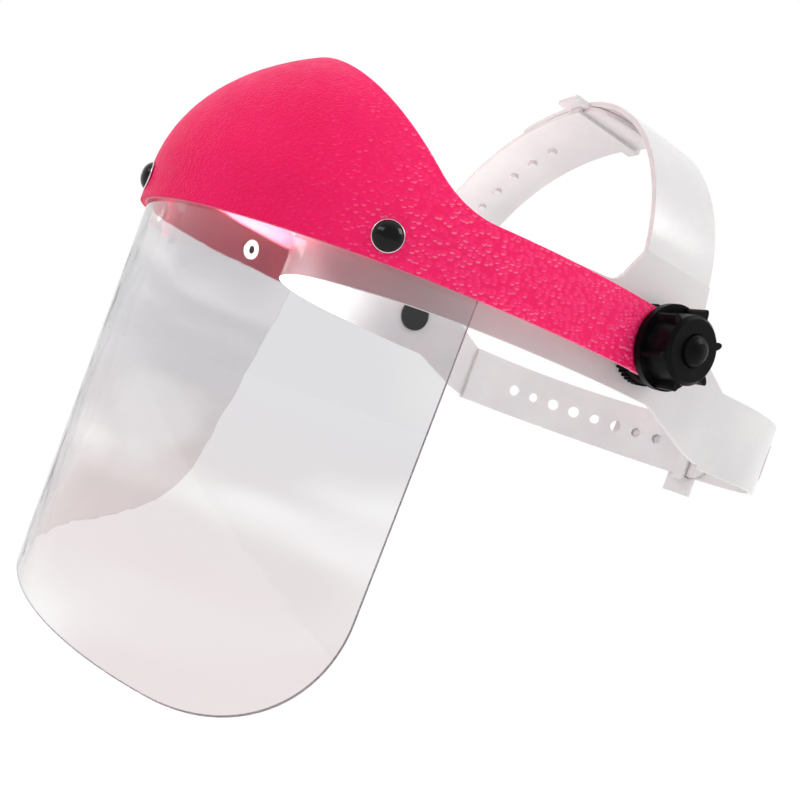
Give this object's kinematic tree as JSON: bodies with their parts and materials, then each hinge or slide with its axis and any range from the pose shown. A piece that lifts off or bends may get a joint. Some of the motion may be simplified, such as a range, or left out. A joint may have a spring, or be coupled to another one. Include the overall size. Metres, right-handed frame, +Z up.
{
  "type": "face shield",
  "caption": "Head-worn face shield: moulded crown guard with a bent clear visor, swinging on two knob-tightened temple pivots of an adjustable plastic head harness.",
  "frame": {"origin": "where the temple pivot axis crosses the middle plane of the harness", "axes": "+X to the wearer's left along the pivot axis, +Y to the wearer's back, +Z up"},
  "size_m": [0.2094, 0.292, 0.232],
  "materials": {
    "guard_pink": "leather-grained moulding",
    "visor_clear": "clear polished sheet",
    "strap_milky": "translucent soft plastic",
    "black_plastic": "satin moulded",
    "snap_black": "glossy lacquered",
    "snap_white": "satin moulded"
  },
  "bodies": {
    "harness": {"headband": "strap_milky", "nape_strap_left": "strap_milky", "nape_strap_right": "strap_milky", "crown_strap_left": "strap_milky", "crown_strap_right": "strap_milky", "pivot_bolt_left": "black_plastic", "pivot_bolt_right": "black_plastic", "friction_spacer_left": "black_plastic", "friction_spacer_right": "black_plastic"},
    "guard": {"crown_guard": "guard_pink", "visor": "visor_clear", "snap_cap_front": "snap_black", "snap_cap_left": "snap_black", "snap_cap_right": "snap_black", "snap_ring_front": "snap_white", "snap_ring_left": "snap_white", "snap_ring_right": "snap_white"},
    "knob_left": {"knob_left": "black_plastic"},
    "knob_right": {"knob_right": "black_plastic"}
  },
  "joints": [
    {"name": "guard_pivot", "type": "hinge", "parent": "harness", "child": "guard", "pos_m": [0, 0, 0], "axis": [-1, 0, 0], "range_deg": [0, 90]},
    {"name": "knob_left_turn", "type": "hinge", "parent": "harness", "child": "knob_left", "pos_m": [0.0963, 0, 0], "axis": [1, 0, 0], "range_deg": [-360, 360]},
    {"name": "knob_right_turn", "type": "hinge", "parent": "harness", "child": "knob_right", "pos_m": [-0.0963, 0, 0], "axis": [-1, 0, 0], "range_deg": [-360, 360]}
  ]
}
